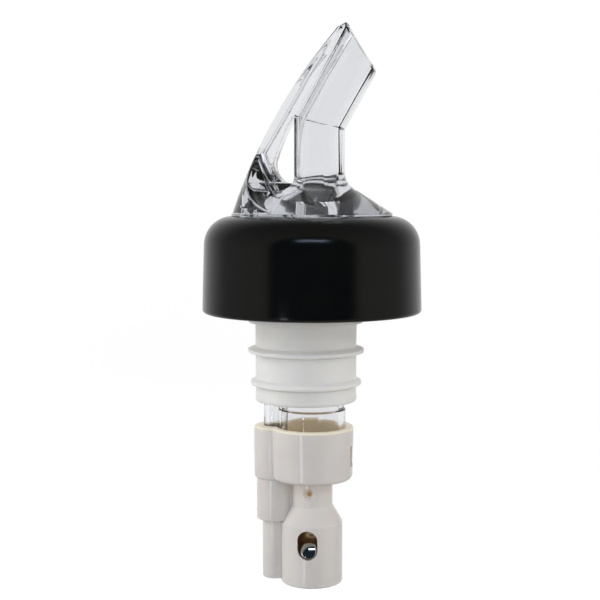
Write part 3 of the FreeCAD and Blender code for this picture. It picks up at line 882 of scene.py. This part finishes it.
def arm_slice(z):
    out, half, inner = arm_outer(z), arm_half(z), arm_inner(z)
    radius = max(-out, 8.0)
    swing = math.asin(min(half / radius, 1.0))
    corner = Vector((out + radius - radius * math.cos(swing), half))
    inner_corner = Vector((max(inner, corner.x + 0.2), min(half, ARM_HALF)))
    way = inner_corner - corner
    soft = min(0.9, 0.45 * way.length)
    side = []
    for step in range(7):
        turn = (swing - soft / radius) * step / 6
        side.append(Vector((out + radius - radius * math.cos(turn), radius * math.sin(turn))))
    side += bent(side[-1], corner, corner + way.normalized() * soft, 7)[1:]
    start = side[-1]
    tight = min(0.35, 0.3 * way.length)
    end = inner_corner - way.normalized() * tight
    side += [start.lerp(end, step / 4) for step in range(1, 5)]
    side += bent(end, inner_corner, inner_corner - Vector((0, tight)), 3)[1:]
    ring = side + [Vector((point.x, -point.y)) for point in reversed(side[1:])]
    return [Vector((MAIN_X + point.x, point.y, z)) for point in ring]


def make_arm():
    levels = [19.4, 19.7] + [19.8 + 0.4 * step for step in range(14)]
    levels += [25.19, 25.21, 25.3, 25.45, 25.7, 26.0, 26.4, 26.9, 27.5, 28.1, 28.8, 29.4, 30.0]
    levels += [30.6, 31.2, 31.7, 32.4] + [33 + step for step in range(4)] + [36.6, 37.09, 37.11]
    levels += [38 + step for step in range(15)] + [52.2, 52.75, 53.1, 53.45]
    return loft("vent_arm", [arm_slice(z) for z in levels])


# %% [markdown]
# ## Clear spout: tubes, air channel and ribs
#
# The arm, the breather's tube and the snap lug are joined to the nozzle, and then the bore and
# the air channel are cut out. The channel rises from the breather's tube, slants across under the
# arm, and follows the arm as a needle that opens towards the tip. The crossed ribs stand inside
# the bore, so they are joined last. The shut-off ball stops against them.

# %% Join the spout
VENT_RADIUS, VENT_BORE, NEEDLE_RADIUS = 2.02, 1.1, 0.4
STOP_HALF, STOP_REACH, STOP_FOOT, STOP_TOP = 0.55, 5.4, -14.3, -12.7


def make_spout():
    foot = SPOUT_FOOT
    outer = make_outer()
    vent = rod("vent_tube", (VENT_X, 0, foot), (VENT_X, 0, FLANGE_FOOT + 0.5), VENT_RADIUS, steps=64)
    lug = block("lug", (MAIN_X + 5.8, -1.6, -24.0), (MAIN_X + 6.9, 1.6, -22.7), 0.2)
    elbow = Vector((MAIN_X - 9.2, 0, 30.2))
    air = [rod("vent_bore", (VENT_X, 0, foot - 1), (VENT_X, 0, 16.4), VENT_BORE),
           rod("vent_riser", (VENT_X, 0, 16.2), elbow, VENT_BORE),
           rod("vent_needle", elbow - Vector((0, 0, 0.6)), (MAIN_X + 3.3, 0, 50.7), NEEDLE_RADIUS, 24),
           rod("vent_mouth", (MAIN_X - 1.9, 0, 42.4), (MAIN_X + 1.95, 0, 48.5), 0.35, 32, 0.95)]
    combined(outer, joined=[make_arm(), vent, lug], cut=[make_bore(), *air])
    ribs = []
    for half_x, half_y in ((STOP_REACH, STOP_HALF), (STOP_HALF, STOP_REACH)):
        low, high = (MAIN_X - half_x, -half_y, STOP_FOOT), (MAIN_X + half_x, half_y, STOP_TOP)
        ribs.append(block("rib", low, high))
    combined(outer, joined=ribs)
    finished(outer, CLEAR, "body", "spout", sharp=28.0)


make_spout()

# %% [markdown]
# ## Balls
#
# Three bearing balls do the measuring: the large one times the pour, the middle one shuts the
# flow, and the small one lets air back in. A subdivided icosphere has even triangles all over,
# so its mirror finish shows no pole.

# %% Balls


def make_ball(node, body):
    low, high = span(node)
    shape = bmesh.new()
    radius = (high.x - low.x) / 2
    place = Matrix.Translation((low + high) / 2)
    bmesh.ops.create_icosphere(shape, subdivisions=5, radius=radius, matrix=place)
    ball = as_object(f"{node}_polished", shape)
    finished(ball, STEEL, body, node, sharp=80)


make_ball("timing_ball", "timing")
make_ball("shutoff_ball", "shutoff")
make_ball("breather_ball", "breather")

# %% [markdown]
# ## Valve housing
#
# The housing is the most complicated moulding: a cup that grips the two clear tubes, a neck, a
# cone and a ball chamber in line, and the breather's stepped channel beside them. It is built
# outside first, from spun solids joined together, and then hollowed by cutting one spun core for
# the flow and three for the breather, as the mould's core pins do.

# %% Valve housing


def column(name, centre_x, radius, low, high, soft=0.25, taper=0.0):
    """A solid round column with softened rims."""
    profile = rounded([(0, high), (radius, high, soft), (radius - taper, low, soft), (0, low)], steps=3)
    return turned(name, profile, centre_x, steps=72, closed=False)


def slot_cutter(name, width, height, level, reach):
    """An upright oval bar that cuts a window through front and back."""
    shape = bmesh.new()
    half, straight = width / 2, (height - width) / 2
    verts = []
    for centre, start in ((straight, 0.0), (-straight, math.pi)):
        for step in range(17):
            turn = start + math.pi * step / 16
            place = (MAIN_X + half * math.cos(turn), -reach, level + centre + half * math.sin(turn))
            verts.append(shape.verts.new(place))
    face = shape.faces.new(verts)
    grown = bmesh.ops.extrude_face_region(shape, geom=[face])["geom"]
    moved = [item for item in grown if isinstance(item, bmesh.types.BMVert)]
    bmesh.ops.translate(shape, verts=moved, vec=(0, 2 * reach, 0))
    return as_object(name, shape)


def make_housing():
    low, high = span("valve_housing")
    rim, foot = high.z, low.z
    cup, cup_foot, neck, chamber = 7.7, -28.9, 3.85, 5.7
    neck_foot, chamber_top = -33.8, -37.0
    mid_foot, low_foot, ledge, step = -36.7, -47.7, -27.2, -35.2
    outline = [(0, rim), (cup, rim, 0.35), (cup - 0.2, cup_foot, 0.8), (neck, cup_foot, 0.25)]
    outline += [(neck, neck_foot, 1.0), (chamber, chamber_top, 0.8), (chamber, foot, 0.45), (0, foot)]
    body = turned("housing_shell", rounded(outline, steps=6), MAIN_X, steps=128, closed=False)
    joined = [column("lobe", VENT_X, 3.86, cup_foot, rim, 0.35, taper=0.1),
              column("mid_channel", VENT_X, 3.35, mid_foot, cup_foot + 0.6),
              column("low_channel", VENT_X, 2.3, low_foot, mid_foot + 0.6),
              block("web", (VENT_X, -1.3, mid_foot), (MAIN_X, 1.3, cup_foot + 0.5), 0.15),
              block("low_web", (VENT_X, -0.9, low_foot), (MAIN_X - 4.9, 0.9, mid_foot + 0.5), 0.15)]
    lead_in, cup_bore, seat, throat, chamber_bore = 6.55, 6.25, 4.4, 2.9, 4.95
    flow = [(0, rim + 1), (lead_in, rim + 1), (lead_in, rim + 0.05), (cup_bore, rim - 0.35)]
    flow += [(cup_bore, ledge), (seat, ledge), (throat, ledge - 1.4), (throat, neck_foot)]
    flow += [(chamber_bore, chamber_top - 0.2), (chamber_bore, foot - 1), (0, foot - 1)]
    bleed = [(0, 0), (0.4, 0.0), (0.4, 2.9), (1.25, 3.9), (1.25, 4.6), (0, 4.6)]
    bleed_hole = turned("bleed", bleed, 0.0, steps=48, closed=False)
    bleed_hole.data.transform(Matrix.Rotation(math.pi / 2, 4, "X"))
    bleed_hole.data.transform(Matrix.Translation((MAIN_X, 0, -31.3)))
    cut = [turned("flow", flow, MAIN_X, steps=128, closed=False),
           rod("lobe_bore", (VENT_X, 0, rim + 1), (VENT_X, 0, ledge), 2.1),
           rod("ball_well", (VENT_X, 0, ledge + 0.5), (VENT_X, 0, step), 1.75),
           rod("low_bore", (VENT_X, 0, step + 0.5), (VENT_X, 0, foot - 1), 1.2),
           slot_cutter("windows", 3.7, 5.4, -40.3, 9.0), bleed_hole,
           block("snap_slot", (MAIN_X + 6.4, -2.0, -26.4), (MAIN_X + 9, 2.0, -22.5), 0.3)]
    combined(body, joined, cut)
    finished(body, IVORY, "body", "valve_housing")


make_housing()

# %% [markdown]
# ## The loaded nodes
#
# Seven of the loaded nodes are replaced by the meshes above. The chamber cap, a plain ring in the
# chamber's foot, stays as it was loaded and takes the housing's finish. The replaced nodes get
# their finishes too, so that no node is left with a plain colour.

# %% Give the loaded nodes their finishes
NODE_FINISH = {"spout": CLEAR, "collar": BLACK, "cork": MILKY, "valve_housing": IVORY,
               "chamber_cap": IVORY, "timing_ball": STEEL, "shutoff_ball": STEEL,
               "breather_ball": STEEL}
for node, material in NODE_FINISH.items():
    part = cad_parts[node]
    for slot in part.material_slots:
        slot.material = material
